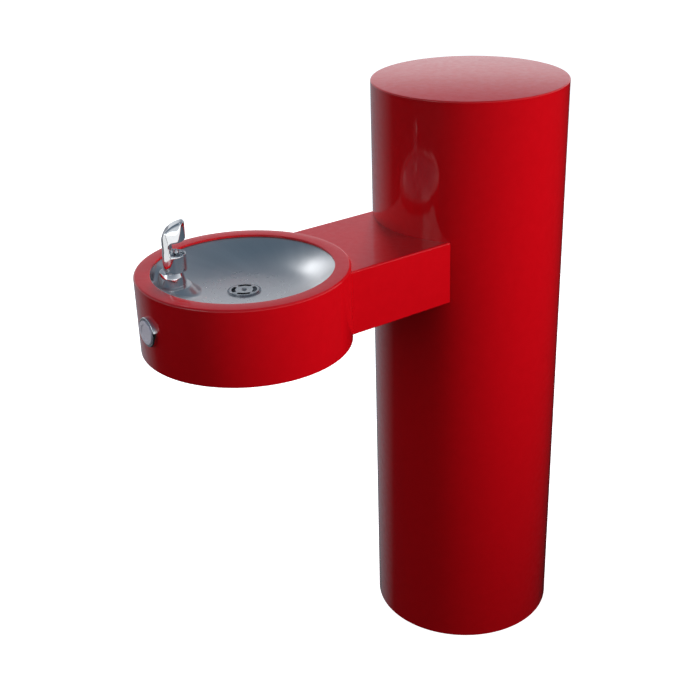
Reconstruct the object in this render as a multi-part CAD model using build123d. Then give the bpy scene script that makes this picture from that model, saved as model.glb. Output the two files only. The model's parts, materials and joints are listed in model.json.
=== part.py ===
from build123d import *
import math
import os

# Pedestal drinking fountain: a round steel pedestal, a box arm and a drum-shaped
# bowl housing with a steel basin, a hooded bubbler and a push button.
# Origin: pedestal axis at floor level, +Z up, bowl towards -Y. Millimetres.

# ---- pedestal ----
PED_R = 178.0            # 14 in tube
PED_TOP = 1104.0
SHELL = 4.0              # wall of every painted shell
CAP_T = 5.0
CAP_EDGE = 2.4
BASE_T = 10.0
BASE_HOLE_R = 95.0
ANCHOR_PCD = 270.0
ANCHOR_HOLE_R = 8.0

# ---- access door at the back of the pedestal ----
DOOR_W = 180.0
DOOR_Z0 = 190.0
DOOR_Z1 = 470.0
DOOR_CORNER = 14.0
DOOR_GAP = 1.2
DOOR_LAP = 15.0
DOOR_SCREW_ANGLE = 27.0
DOOR_SCREW_INSET = 9.5

# ---- bowl housing ----
BOWL_Y = -494.0
BOWL_R = 180.0
RIM_Z = 867.0
BOWL_BOTTOM = 734.0
RIM_HOLE_R = 152.8
RIM_EDGE = 4.0
COVER_RECESS = 2.0

# ---- arm ----
ARM_W = 224.0
ARM_Z0 = 740.0
ARM_Z1 = 855.0
ARM_EDGE = 3.0
WINDOW_W = 160.0
WINDOW_Z0 = 746.0
WINDOW_Z1 = 838.0

# ---- basin ----
SHEET = 1.5
GASKET_T = 1.0
BASIN_FLANGE_R = 172.0
BASIN_TOP_R = 154.0
BASIN_POWER = 2.7        # height above the sump grows as the distance from it to this power
BASIN_STEP = 16.0
SUMP_R = 30.0
SUMP_Z = 824.0
DRAIN_HOLE_R = 24.2
STUD_R = 2.0
STUD_CIRCLE_R = 165.0
STUD_COUNT = 6

# ---- drain and waste ----
WASTE_R = 16.0           # 1 1/4 in tubular waste
WASTE_WALL = 1.5
WASTE_Z = 772.0
WASTE_FALL = 0.02
WASTE_DROP_Y = -85.0
WASTE_OUT_Y = 55.0
TRAP_Y = -15.0
TRAP_Z0 = 440.0
TRAP_Z1 = 560.0
SLIP_NUT_L = 16.0
SLIP_NUT_R = 22.0

# ---- supply ----
SUPPLY_X = 64.0
SUPPLY_Y = 10.0
TUBE_R = 4.76            # 3/8 in tube
TUBE_BORE = 3.9
STUB_R = 6.35
STUB_NECK_R = 6.15       # turned-down end inside the stop valve
STUB_NECK_Z = 260.0
STOP_Z0 = 290.0
STOP_Z1 = 340.0
STOP_AXIS_Z = 316.0
STRAINER_Z0 = 430.0
STRAINER_Z1 = 480.0
NUT_L = 13.0
NUT_FLATS = 17.0

# ---- push button and valve ----
BUTTON_Z = 802.0
BUTTON_TRAVEL = 4.0
BEZEL_R = 25.0
BEZEL_FRONT = -680.0
BUTTON_FRONT = -682.0
HEAD_R = 20.2
HEAD_T = 2.6
POCKET_Y = BUTTON_FRONT + HEAD_T + BUTTON_TRAVEL + 0.2
STEM_R = 11.95
VALVE_R = 15.0
VALVE_BORE = 9.0
VALVE_PIN_R = 3.95
INLET_Y = -612.0

# ---- bubbler, in its own frame: +X towards the middle of the basin ----
BUBBLER_X = -65.5
BUBBLER_Y = -593.0
BOSS_Z = 841.0
BOSS_R = 32.0
DOME_R = 24.5
DOME_H = 25.0
SHANK_R = 10.0
SHANK_BOTTOM = 826.0
OUTLET_Y = BUBBLER_Y      # the valve outlet is level with the bubbler shank

FIT = 0.05               # radial clearance of running fits
BUBBLER_TURN = math.degrees(math.atan2(BOWL_Y - BUBBLER_Y, -BUBBLER_X))
BOWL = Pos(0, BOWL_Y, 0)
BUBBLER = Location((BUBBLER_X, BUBBLER_Y, BOSS_Z), (0, 0, BUBBLER_TURN))


# ---- helpers ----
def rod(radius, z0, z1):
    return Pos(0, 0, z0) * Cylinder(radius, z1 - z0, align=(Align.CENTER, Align.CENTER, Align.MIN))


def ring(outer, inner, z0, z1):
    return rod(outer, z0, z1) - rod(inner, z0 - 1, z1 + 1)


def block(x0, x1, y0, y1, z0, z1):
    return Pos((x0 + x1) / 2, (y0 + y1) / 2, (z0 + z1) / 2) * Box(x1 - x0, y1 - y0, z1 - z0)


def hexagon(across_flats, bore, z0, z1):
    sketch = RegularPolygon(across_flats / 2, 6, major_radius=False)
    nut = Pos(0, 0, z0) * extrude(sketch, z1 - z0)
    return nut - rod(bore, z0 - 1, z1 + 1)


def along_y(shape, x=0.0, z=0.0):
    """Turn a shape built along +Z so that it runs along +Y."""
    return Pos(x, 0, z) * Rot(-90, 0, 0) * shape


def along_x(shape, y=0.0, z=0.0):
    """Turn a shape built along +Z so that it runs along +X."""
    return Pos(0, y, z) * Rot(0, 90, 0) * shape


def pipe(points, radius, outer, inner):
    if len(points) > 2:
        path = FilletPolyline(*points, radius=radius)
    else:
        path = Line(*points)
    section = Plane(origin=path @ 0, z_dir=path % 0) * (Circle(outer) - Circle(inner))
    return sweep(section, path=path)


def turned(points, radii=0.0):
    """Closed outline in radius and height, turned about Z."""
    outline = FilletPolyline(*points, radius=radii, close=True)
    return revolve(Plane.XZ * make_face(outline), axis=Axis.Z)


def dome_screw(head_r, head_h, shank_r, length):
    """Button-head pin screw: head above z = 0, shank below, six-lobe recess and pin."""
    ball_r = (head_r ** 2 + head_h ** 2) / (2 * head_h)
    head = (Pos(0, 0, head_h - ball_r) * Sphere(ball_r)) & rod(head_r, 0, head_h)
    recess = Pos(0, 0, head_h * 0.35) * extrude(RegularPolygon(head_r * 0.42, 6), head_h)
    pin = rod(head_r * 0.13, 0, head_h * 0.8)
    return head - recess + pin + rod(shank_r, -length, 0)


def around(shape, count, start=0.0):
    return [Rot(0, 0, start + 360.0 * i / count) * shape for i in range(count)]


# ---- pedestal ----
def door_blank(grow):
    half = DOOR_W / 2 + grow
    blank = block(-half, half, 60, 220, DOOR_Z0 - grow, DOOR_Z1 + grow)
    return fillet(blank.edges().filter_by(Axis.Y), DOOR_CORNER + grow)


def service_window(y0, y1):
    return block(-WINDOW_W / 2, WINDOW_W / 2, y0, y1, WINDOW_Z0, WINDOW_Z1)


def pedestal_tube():
    shell = ring(PED_R, PED_R - SHELL, 0, PED_TOP - CAP_T)
    return shell - service_window(-PED_R - 5, -60) - door_blank(0)


def pedestal_cap():
    disc = rod(PED_R, PED_TOP - CAP_T, PED_TOP)
    disc = fillet(disc.edges().group_by(Axis.Z)[-1], CAP_EDGE)
    spigot = ring(PED_R - SHELL - 0.2, PED_R - SHELL - 5, PED_TOP - CAP_T - 12, PED_TOP - CAP_T)
    return disc + spigot


def base_flange():
    plate = ring(PED_R - SHELL, BASE_HOLE_R, 0, BASE_T)
    hole = Pos(ANCHOR_PCD / 2, 0, 0) * rod(ANCHOR_HOLE_R, -1, BASE_T + 1)
    for cut in around(hole, 4, start=45):
        plate = plate - cut
    return plate


def door_screw_places():
    for z in (DOOR_Z0 + DOOR_SCREW_INSET, DOOR_Z1 - DOOR_SCREW_INSET):
        for angle in (-DOOR_SCREW_ANGLE, DOOR_SCREW_ANGLE):
            yield Pos(0, 0, z) * Rot(0, 0, angle) * Rot(-90, 0, 0)


def with_door_holes(shape, radius):
    for place in door_screw_places():
        shape = shape - place * rod(radius, PED_R - 30, PED_R + 10)
    return shape


def door_frame():
    band = ring(PED_R - SHELL, PED_R - 2 * SHELL, DOOR_Z0 - 40, DOOR_Z1 + 40)
    frame = (band & door_blank(DOOR_LAP)) - door_blank(-DOOR_LAP + 2)
    return with_door_holes(frame, 2.5)


def access_door():
    band = ring(PED_R, PED_R - SHELL, DOOR_Z0 - 40, DOOR_Z1 + 40)
    return with_door_holes(band & door_blank(-DOOR_GAP), 2.7)


def door_screws():
    return [place * Pos(0, 0, PED_R) * dome_screw(4.6, 2.6, 2.45, 10) for place in door_screw_places()]


# ---- arm ----
def arm_housing():
    half = ARM_W / 2
    outer = block(-half, half, -360, -130, ARM_Z0, ARM_Z1)
    outer = fillet(outer.edges().filter_by(Axis.Y), ARM_EDGE)
    inner = block(-half + SHELL, half - SHELL, -370, -120, ARM_Z0 + SHELL, ARM_Z1 - SHELL)
    duct = outer - inner - rod(PED_R, ARM_Z0 - 10, ARM_Z1 + 10)
    return duct - BOWL * rod(BOWL_R, ARM_Z0 - 10, ARM_Z1 + 10)


# ---- bowl housing and its underside ----
def bowl_housing():
    wall_r = BOWL_R - SHELL
    corners = [(RIM_HOLE_R, RIM_Z), (BOWL_R, RIM_Z), (BOWL_R, BOWL_BOTTOM), (wall_r, BOWL_BOTTOM),
               (wall_r, RIM_Z - SHELL), (RIM_HOLE_R, RIM_Z - SHELL)]
    drum = BOWL * turned(corners, [1.0, RIM_EDGE, 0.8, 0.8, 0, 0.8])
    drum = drum - service_window(BOWL_Y + 100, BOWL_Y + BOWL_R + 5)
    return drum - along_y(rod(17.0, BOWL_Y - BOWL_R - 5, BOWL_Y - BOWL_R + 40), z=BUTTON_Z)


COVER_Z0 = BOWL_BOTTOM + COVER_RECESS
COVER_Z1 = COVER_Z0 + SHELL
COVER_SCREW_R = 165.0


def bowl_bottom_cover():
    cover = rod(BOWL_R - SHELL - 0.6, COVER_Z0, COVER_Z1)
    for cut in around(Pos(COVER_SCREW_R, 0, 0) * rod(2.7, COVER_Z0 - 1, COVER_Z1 + 1), 3, start=30):
        cover = cover - cut
    return BOWL * cover


def cover_brackets():
    wall_r = BOWL_R - SHELL
    foot = ring(wall_r, wall_r - 20, COVER_Z1, COVER_Z1 + 3)
    angle = foot + ring(wall_r, wall_r - 3, COVER_Z1, COVER_Z1 + 24)
    tab = angle & block(wall_r - 30, wall_r + 5, -13, 13, COVER_Z1, COVER_Z1 + 24)
    tab = tab - Pos(COVER_SCREW_R, 0, 0) * rod(2.5, COVER_Z1 - 1, COVER_Z1 + 4)
    return [BOWL * piece for piece in around(tab, 3, start=30)]


def cover_screws():
    screw = Pos(COVER_SCREW_R, 0, COVER_Z0) * Rot(180, 0, 0) * dome_screw(4.6, 1.9, 2.45, 9)
    return [BOWL * piece for piece in around(screw, 3, start=30)]


# ---- basin ----
BASIN_TOP = RIM_Z - SHELL - GASKET_T
SEAT = BOWL.inverse() * Pos(BUBBLER_X, BUBBLER_Y, 0)


def basin_height(radius):
    """Height of the basin's inner surface: almost flat at the sump, steeper towards the rim."""
    return SUMP_Z + (BASIN_TOP - SUMP_Z) * ((radius - SUMP_R) / (BASIN_TOP_R - SUMP_R)) ** BASIN_POWER


def basin_hollow():
    """Everything above the basin's inner surface and the flat seat pressed in for the bubbler."""
    count = math.ceil((BASIN_TOP_R - SUMP_R) / BASIN_STEP)
    radii = [SUMP_R + (BASIN_TOP_R - SUMP_R) * i / count for i in range(count + 1)]
    curve = Spline(*[(radius, basin_height(radius)) for radius in radii])
    rest = Polyline((BASIN_TOP_R, BASIN_TOP), (0, BASIN_TOP), (0, SUMP_Z), (SUMP_R, SUMP_Z))
    hollow = revolve(Plane.XZ * make_face(Curve() + [curve, rest]), axis=Axis.Z)
    rise = 24.0
    low = Align.CENTER, Align.CENTER, Align.MIN
    raised = SEAT * Pos(0, 0, BOSS_Z - rise) * Cone(BOSS_R + rise, BOSS_R, rise, align=low)
    pressed = SEAT * Pos(0, 0, BOSS_Z) * Cone(BOSS_R, BOSS_R + rise, rise, align=low)
    return (hollow - raised) + (pressed & rod(BASIN_TOP_R, BOSS_Z - 1, BASIN_TOP))


def stud_holes():
    hole = rod(STUD_R + 0.4, BASIN_TOP - 5, BASIN_TOP + 5)
    return around(Pos(STUD_CIRCLE_R, 0, 0) * hole, STUD_COUNT)


def basin():
    hollow = basin_hollow()
    flange = rod(BASIN_FLANGE_R, BASIN_TOP - SHEET, BASIN_TOP)
    bowl = Pos(0, 0, -SHEET) * hollow + flange - hollow
    bowl = bowl - rod(DRAIN_HOLE_R, SUMP_Z - 10, SUMP_Z + 10)
    bowl = bowl - SEAT * rod(SHANK_R + 0.5, BOSS_Z - 12, BOSS_Z + 5)
    for cut in stud_holes():
        bowl = bowl - cut
    return BOWL * bowl


def basin_gasket():
    seal = ring(BASIN_FLANGE_R, BASIN_TOP_R + 2, BASIN_TOP, RIM_Z - SHELL)
    for cut in stud_holes():
        seal = seal - cut
    return BOWL * seal


def basin_studs():
    stud = Pos(STUD_CIRCLE_R, 0, 0) * rod(STUD_R, BASIN_TOP - 12, RIM_Z - SHELL)
    return [BOWL * piece for piece in around(stud, STUD_COUNT)]


def basin_nuts():
    nut = hexagon(7.0, STUD_R + FIT, BASIN_TOP - SHEET - 3.5, BASIN_TOP - SHEET)
    return [BOWL * piece for piece in around(Pos(STUD_CIRCLE_R, 0, 0) * nut, STUD_COUNT)]


# ---- drain ----
PLATE_Z = SUMP_Z + 1.0
DRAIN_TAIL_Z = SUMP_Z - 13.0
DRAIN_FLANGE_R = 28.5
DRAIN_BODY_R = DRAIN_HOLE_R - 0.4
CUP_R = DRAIN_BODY_R - 2.0
CUP_DEPTH = 5.0
TAIL_BORE_R = 16.6
PLATE_R = 25.5
SLOT_COUNT = 4
SLOT_IN_R = 15.0
SLOT_OUT_R = 21.6
SLOT_START = 55.0
SPOKE_W = 5.0


def drain_body():
    cup = rod(DRAIN_FLANGE_R, SUMP_Z, PLATE_Z) + rod(DRAIN_BODY_R, DRAIN_TAIL_Z, SUMP_Z)
    cup = cup - rod(CUP_R, SUMP_Z - CUP_DEPTH, PLATE_Z + 1) - rod(TAIL_BORE_R, DRAIN_TAIL_Z - 1, SUMP_Z)
    bar = block(-CUP_R - 1, CUP_R + 1, -3, 3, SUMP_Z - CUP_DEPTH, SUMP_Z - 1)
    return BOWL * (cup + bar - rod(1.9, SUMP_Z - 6, SUMP_Z))


def drain_strainer():
    """Round plate with curved slots near its edge, parted by spokes."""
    plate = rod(PLATE_R, PLATE_Z, PLATE_Z + 1.6)
    plate = fillet(plate.edges().group_by(Axis.Z)[-1], 1.0)
    slots = ring(SLOT_OUT_R, SLOT_IN_R, PLATE_Z - 1, PLATE_Z + 3)
    spoke = block(0, PLATE_R, -SPOKE_W / 2, SPOKE_W / 2, PLATE_Z - 2, PLATE_Z + 4)
    for cut in around(spoke, SLOT_COUNT, start=SLOT_START + 180.0 / SLOT_COUNT):
        slots = slots - cut
    return BOWL * (plate - slots - rod(2.2, PLATE_Z - 1, PLATE_Z + 3))


def drain_screw():
    return BOWL * Pos(0, 0, PLATE_Z + 1.6) * dome_screw(4.4, 2.0, 1.85, 12)


def drain_gasket():
    return BOWL * ring(DRAIN_FLANGE_R, DRAIN_HOLE_R, SUMP_Z - SHEET - 2.5, SUMP_Z - SHEET)


def drain_locknut():
    top = SUMP_Z - SHEET - 2.5
    nut = ring(DRAIN_HOLE_R + 8, DRAIN_BODY_R + FIT, top - 8, top)
    notch = block(DRAIN_HOLE_R + 5.5, DRAIN_HOLE_R + 10, -3, 3, top - 9, top + 1)
    for cut in around(notch, 8):
        nut = nut - cut
    return BOWL * nut


ELBOW_TOP = SUMP_Z - 28.0
ELBOW_OUT_Y = -460.0
ARM_PIPE_OUT_Y = -130.0


def waste_z(y):
    """Centre height of the sloping waste at y."""
    return WASTE_Z - WASTE_FALL * (y - BOWL_Y)


def drain_tailpiece():
    return BOWL * ring(WASTE_R, WASTE_R - WASTE_WALL, ELBOW_TOP, SUMP_Z - 6)


def waste_part(points, radius=0.0):
    return pipe(points, radius, WASTE_R, WASTE_R - WASTE_WALL)


def waste_elbow():
    points = [(0, BOWL_Y, ELBOW_TOP), (0, BOWL_Y, WASTE_Z), (0, ELBOW_OUT_Y, waste_z(ELBOW_OUT_Y))]
    return waste_part(points, 22.0)


def waste_arm_pipe():
    points = [(0, y, waste_z(y)) for y in (ELBOW_OUT_Y, ARM_PIPE_OUT_Y)]
    return waste_part(points)


def waste_drop_pipe():
    points = [(0, ARM_PIPE_OUT_Y, waste_z(ARM_PIPE_OUT_Y)), (0, WASTE_DROP_Y, waste_z(WASTE_DROP_Y)),
              (0, WASTE_DROP_Y, TRAP_Z1)]
    return waste_part(points, 30.0)


def p_trap():
    points = [(0, WASTE_DROP_Y, TRAP_Z1), (0, WASTE_DROP_Y, TRAP_Z0), (0, TRAP_Y, TRAP_Z0),
              (0, TRAP_Y, TRAP_Z1 - 50)]
    return waste_part(points, 34.0)


def waste_outlet_pipe():
    points = [(0, TRAP_Y, TRAP_Z1 - 50), (0, TRAP_Y, TRAP_Z1),
              (0, WASTE_OUT_Y, TRAP_Z1), (0, WASTE_OUT_Y, 0)]
    return waste_part(points, 34.0)


def slip_nuts():
    nut = hexagon(2 * SLIP_NUT_R - 4, WASTE_R + FIT, -SLIP_NUT_L / 2, SLIP_NUT_L / 2)
    tilt = math.degrees(math.atan(WASTE_FALL))
    places = [Pos(0, BOWL_Y, ELBOW_TOP + 6)]
    for y in (ELBOW_OUT_Y, ARM_PIPE_OUT_Y):
        places.append(Pos(0, y, waste_z(y)) * Rot(-90 - tilt, 0, 0))
    places.append(Pos(0, WASTE_DROP_Y, TRAP_Z1))
    places.append(Pos(0, TRAP_Y, TRAP_Z1 - 50))
    return [place * nut for place in places]


def pipe_bracket():
    clamp = Pos(0, WASTE_DROP_Y, 0) * ring(WASTE_R + 3, WASTE_R + FIT, 640, 660)
    reach = math.sqrt((PED_R - SHELL) ** 2 - 20 ** 2)
    strap = block(-3, 3, -reach, WASTE_DROP_Y - WASTE_R - 1, 640, 660)
    foot = ring(PED_R - SHELL, PED_R - SHELL - 3, 625, 675) & block(-20, 20, -PED_R, -100, 625, 675)
    return clamp + strap + foot


# ---- supply ----
SUPPLY = Pos(SUPPLY_X, SUPPLY_Y, 0)


def supply_stub():
    stub = rod(STUB_R, 0, STUB_NECK_Z) + rod(STUB_NECK_R, STUB_NECK_Z, STOP_Z0 + 8)
    return SUPPLY * (stub - rod(STUB_R - 1.2, -1, STOP_Z0 + 9))


def stop_valve_body():
    barrel = rod(11.5, STOP_AXIS_Z - 16, STOP_AXIS_Z + 16)
    inlet = hexagon(20.0, STUB_NECK_R + FIT, STOP_Z0, STOP_AXIS_Z - 16)
    outlet = hexagon(20.0, TUBE_BORE, STOP_AXIS_Z + 16, STOP_Z1)
    bonnet = along_y(rod(8.0, 0, 26), z=STOP_AXIS_Z)
    body = barrel + inlet + outlet + bonnet
    body = body - Pos(0, 0, STOP_AXIS_Z) * Sphere(9.6) - rod(5.0, STOP_Z0 + 8, STOP_Z1 - 6)
    body = body - rod(STUB_NECK_R + FIT, STOP_Z0 - 1, STOP_Z0 + 8)
    return SUPPLY * (body - along_y(rod(4.0, 0, 30), z=STOP_AXIS_Z))


def stop_valve_ball():
    ball = Sphere(9.3) - rod(4.5, -12, 12)
    stem = Rot(-90, 0, 0) * (rod(4.0 - FIT, 8.0, 33) - rod(0.8, 30, 34))
    return SUPPLY * Pos(0, 0, STOP_AXIS_Z) * (ball + stem)


LEVER = SUPPLY * Pos(0, 27.5, STOP_AXIS_Z)


def lever_blade():
    blade = block(-6.5, 6.5, 0, 3, -8, 58)
    return fillet(blade.edges().filter_by(Axis.Y), 5.0)


def stop_valve_lever():
    return LEVER * (lever_blade() - Rot(-90, 0, 0) * rod(4.0, -1, 4))


def stop_valve_grip():
    grip = block(-8, 8, -1.2, 4.2, 24, 62)
    return LEVER * (fillet(grip.edges().filter_by(Axis.Y), 6.0) - lever_blade())


def stop_valve_nut():
    return SUPPLY * along_y(hexagon(11.0, 4.0, 30.6, 33.6), z=STOP_AXIS_Z)


def supply_tube_lower():
    return SUPPLY * ring(TUBE_R, TUBE_BORE, STOP_Z1, STRAINER_Z0)


def supply_strainer():
    shell = rod(14.0, STRAINER_Z0, STRAINER_Z1)
    shell = fillet(shell.edges().filter_by(GeomType.CIRCLE), 3.0)
    chamber = rod(11.0, STRAINER_Z0 + 6, STRAINER_Z1 - 6)
    return SUPPLY * (shell - rod(TUBE_BORE, STRAINER_Z0 - 1, STRAINER_Z1 + 1) - chamber)


def supply_tube_upper():
    points = [(SUPPLY_X, SUPPLY_Y, STRAINER_Z1), (SUPPLY_X, SUPPLY_Y, BUTTON_Z),
              (SUPPLY_X, INLET_Y, BUTTON_Z), (VALVE_R + 3, INLET_Y, BUTTON_Z)]
    return pipe(points, 30.0, TUBE_R, TUBE_BORE)


def compression_nuts():
    nut = hexagon(NUT_FLATS, TUBE_R + FIT, 0, NUT_L)
    upright = [SUPPLY * Pos(0, 0, z) * nut for z in (STOP_Z1, STRAINER_Z0 - NUT_L, STRAINER_Z1)]
    at_valve = [Pos(VALVE_R + 3, INLET_Y, BUTTON_Z) * Rot(0, 90, 0) * nut,
                Pos(-VALVE_R - 3, OUTLET_Y, BUTTON_Z) * Rot(0, -90, 0) * nut]
    return upright + at_valve + [Pos(BUBBLER_X, BUBBLER_Y, SHANK_BOTTOM - NUT_L) * nut]


# ---- push button ----
def front(shape):
    """Place a shape built along +Z on the button's axis, +Z becoming +Y."""
    return along_y(shape, z=BUTTON_Z)


NECK_END = -650.0


def button_bezel():
    cup = rod(BEZEL_R, BEZEL_FRONT, -665)
    cup = fillet(cup.edges().group_by(Axis.Z)[0], 1.2)
    cup = front(cup) - BOWL * rod(BOWL_R, 700, 900)
    neck = front(rod(16.5, -676, NECK_END))
    bore = front(rod(HEAD_R + 0.3, BEZEL_FRONT - 1, POCKET_Y) + rod(STEM_R + FIT, POCKET_Y - 1, NECK_END + 1))
    return cup + neck - bore


def button_locknut():
    nut = hexagon(40.0, 16.5 + FIT, -668.0, -660.0)
    return front(nut)


def push_button():
    head = rod(HEAD_R, BUTTON_FRONT, BUTTON_FRONT + HEAD_T)
    head = fillet(head.edges().group_by(Axis.Z)[0], 1.0)
    dish = rod(12.5, BUTTON_FRONT - 1, BUTTON_FRONT + 0.8)
    stem = rod(STEM_R, BUTTON_FRONT + 1.5, -647.5)
    groove = ring(STEM_R + 1, STEM_R - 1.2, NECK_END + 0.3, NECK_END + 1.5)
    return front(head + stem - dish - groove)


def button_clip():
    clip = ring(14.5, STEM_R - 1.2, NECK_END + 0.35, NECK_END + 1.45)
    return front(clip - block(0, 20, -2, 2, NECK_END, NECK_END + 3))


# ---- valve behind the button ----
VALVE_WALL_Y = -642.0
VALVE_END_Y = -570.0
PISTON_Y0 = -627.0
PISTON_Y1 = -617.0


def valve_body():
    sleeve = rod(20.0, -656, -636)
    barrel = rod(VALVE_R, -640, VALVE_END_Y)
    inlet = along_x(rod(8.0, 10, VALVE_R + 3), INLET_Y, BUTTON_Z)
    outlet = along_x(rod(8.0, -VALVE_R - 3, -10), OUTLET_Y, BUTTON_Z)
    boss = Pos(0, -600, 0) * rod(6.0, BUTTON_Z - 20, BUTTON_Z - 10)
    body = front(sleeve + barrel) + inlet + outlet + boss
    body = body - front(rod(16.5 + FIT, -657, VALVE_WALL_Y) + rod(4.0, -650, -630))
    body = body - front(rod(VALVE_BORE, VALVE_WALL_Y + 6, VALVE_END_Y + 1))
    body = body - along_x(rod(TUBE_BORE, 5, 30), INLET_Y, BUTTON_Z)
    body = body - along_x(rod(TUBE_BORE, -30, -5), OUTLET_Y, BUTTON_Z)
    return body - Pos(0, -600, 0) * rod(3.0, BUTTON_Z - 25, BUTTON_Z - 5)


def valve_end_cap():
    cap = rod(VALVE_R, VALVE_END_Y, VALVE_END_Y + 3) + hexagon(24.0, 0.9, VALVE_END_Y + 3, VALVE_END_Y + 9)
    spigot = rod(VALVE_BORE - FIT, VALVE_END_Y - 3, VALVE_END_Y)
    return front(cap + spigot - rod(0.9, VALVE_END_Y - 4, VALVE_END_Y + 4))


def valve_plunger():
    pin = rod(VALVE_PIN_R, -647.2, PISTON_Y0 + 1)
    piston = rod(VALVE_BORE - 0.1, PISTON_Y0, PISTON_Y1) - ring(VALVE_BORE + 1, 7.2, -623.5, -620.5)
    return front(pin + piston)


def plunger_seal():
    seal = ring(VALVE_BORE - 0.05, 7.2, -623.4, -620.6)
    return front(fillet(seal.edges().filter_by(GeomType.CIRCLE).sort_by(SortBy.RADIUS)[-2:], 0.8))


def valve_spring():
    length = VALVE_END_Y - 3 - PISTON_Y1 - 2.2
    coil = Helix(pitch=5.0, height=length, radius=6.2)
    section = Plane(origin=coil @ 0, z_dir=coil % 0) * Circle(0.8)
    return front(Pos(0, 0, PISTON_Y1 + 1.1) * sweep(section, path=coil, is_frenet=True))


def flow_screw():
    screw = rod(3.0 - FIT, BUTTON_Z - 20, BUTTON_Z - 10.5) + rod(4.5, BUTTON_Z - 23.5, BUTTON_Z - 20.3)
    screw = screw + rod(3.0 - FIT, BUTTON_Z - 20.5, BUTTON_Z - 19)
    return Pos(0, -600, 0) * (screw - block(-5, 5, -0.6, 0.6, BUTTON_Z - 24, BUTTON_Z - 22))


# ---- bubbler ----
def bubbler_tube():
    points = [(-VALVE_R - 3, OUTLET_Y, BUTTON_Z), (BUBBLER_X, BUBBLER_Y, BUTTON_Z),
              (BUBBLER_X, BUBBLER_Y, SHANK_BOTTOM)]
    return pipe(points, 12.0, TUBE_R, TUBE_BORE)


def bubbler_base():
    corners = [(0, 0), (DOME_R, 0), (DOME_R, 4), (19.0, DOME_H), (0, DOME_H)]
    dome = turned(corners, [0, 0, 9.0, 3.0, 0])
    shank = rod(SHANK_R, SHANK_BOTTOM - BOSS_Z, 1)
    return BUBBLER * (dome + shank - rod(TUBE_R, SHANK_BOTTOM - BOSS_Z - 1, DOME_H + 1))


def bubbler_gasket():
    low = BOSS_Z - SHEET
    return Pos(BUBBLER_X, BUBBLER_Y, 0) * ring(15.0, SHANK_R + FIT, low - 1.0, low)


def bubbler_locknut():
    low = BOSS_Z - SHEET - 1.0
    return Pos(BUBBLER_X, BUBBLER_Y, 0) * hexagon(28.0, SHANK_R + FIT, low - 7.5, low)


BARREL_X = 3.0           # barrel centre, towards the basin from the dome's centre
BARREL_R = 19.0
LIP_Z = 55.0             # height of the lip in front of the outlet
MOUTH_X = 8.0
MOUTH_R = 11.5
HOOD_HALF = 17.5
SCREW_Z = 34.0
SCREW_R = 2.4


def bubbler_body():
    """Round barrel carrying a hood that leans over the outlet, open towards the basin."""
    barrel = Pos(BARREL_X, 0, 0) * rod(BARREL_R, DOME_H, LIP_Z)
    barrel = fillet(barrel.edges().group_by(Axis.Z)[-1], 2.5)
    low = LIP_Z - 5
    back = Spline((-15.5, low), (-16, 76), (-13.5, 93), (0.5, 109), (15.5, 117), tangents=[(0, 1), (1, 0.3)])
    rest = Polyline((15.5, 117), (20.7, 116), (21, 91), (13, 84.5), (-3, 80), (-5, low), (-15.5, low))
    hood = extrude(Plane.XZ * make_face(Curve() + [back, rest]), HOOD_HALF, both=True)
    hood = hood & (Pos(BARREL_X, 0, 0) * rod(BARREL_R - 0.4, LIP_Z - 6, 130))
    cheeks = ring(BARREL_R - 0.4, BARREL_R - 5, low, 84) & block(-20, MOUTH_X - 1, -25, 25, low, 84)
    body = barrel + hood + Pos(BARREL_X, 0, 0) * cheeks
    throat = Pos(MOUTH_X, 0, 0) * rod(5.0, DOME_H - 1, LIP_Z + 5)
    mouth = Pos(MOUTH_X, 0, 0) * rod(MOUTH_R, LIP_Z - 2, 80)
    screw_hole = Rot(0, -90, 0) * rod(SCREW_R + FIT, 8, 30)
    return BUBBLER * (body - mouth - throat - Pos(0, 0, SCREW_Z) * screw_hole)


def bubbler_nozzle():
    cone = Pos(0, 0, LIP_Z + 4) * Cone(4.95, 3.2, 5, align=(Align.CENTER, Align.CENTER, Align.MIN))
    jet = rod(5.0 - FIT, LIP_Z - 15, LIP_Z + 4) + cone - rod(1.4, LIP_Z - 16, LIP_Z + 12)
    return BUBBLER * Pos(MOUTH_X, 0, 0) * jet


def bubbler_set_screw():
    socket = Pos(0, 0, 14) * extrude(RegularPolygon(1.3, 6), 3)
    return BUBBLER * Pos(0, 0, SCREW_Z) * Rot(0, -90, 0) * (rod(SCREW_R, 8.5, 15.6) - socket)


PARTS = [
    pedestal_tube, pedestal_cap, base_flange, door_frame, access_door, door_screws, arm_housing,
    bowl_housing, bowl_bottom_cover, cover_brackets, cover_screws, basin, basin_gasket, basin_studs,
    basin_nuts, drain_body, drain_strainer, drain_screw, drain_gasket, drain_locknut, drain_tailpiece,
    waste_elbow, waste_arm_pipe, waste_drop_pipe, p_trap, waste_outlet_pipe, slip_nuts, pipe_bracket,
    supply_stub, stop_valve_body, stop_valve_ball, stop_valve_lever, stop_valve_grip, stop_valve_nut,
    supply_tube_lower, supply_strainer, supply_tube_upper, compression_nuts, button_bezel,
    button_locknut, push_button, button_clip, valve_body, valve_end_cap, valve_plunger, plunger_seal,
    valve_spring, flow_screw,
    bubbler_tube, bubbler_base, bubbler_gasket, bubbler_locknut, bubbler_body, bubbler_nozzle,
    bubbler_set_screw,
]


def write(name, shape):
    solids = [shape] if not isinstance(shape, (list, tuple)) else shape
    solids = [solid for piece in solids for solid in piece.solids()]
    export_step(Compound(children=solids) if len(solids) > 1 else solids[0], f"parts/{name}.step")


os.makedirs("parts", exist_ok=True)
for make in PARTS:
    write(make.__name__, make())
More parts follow.
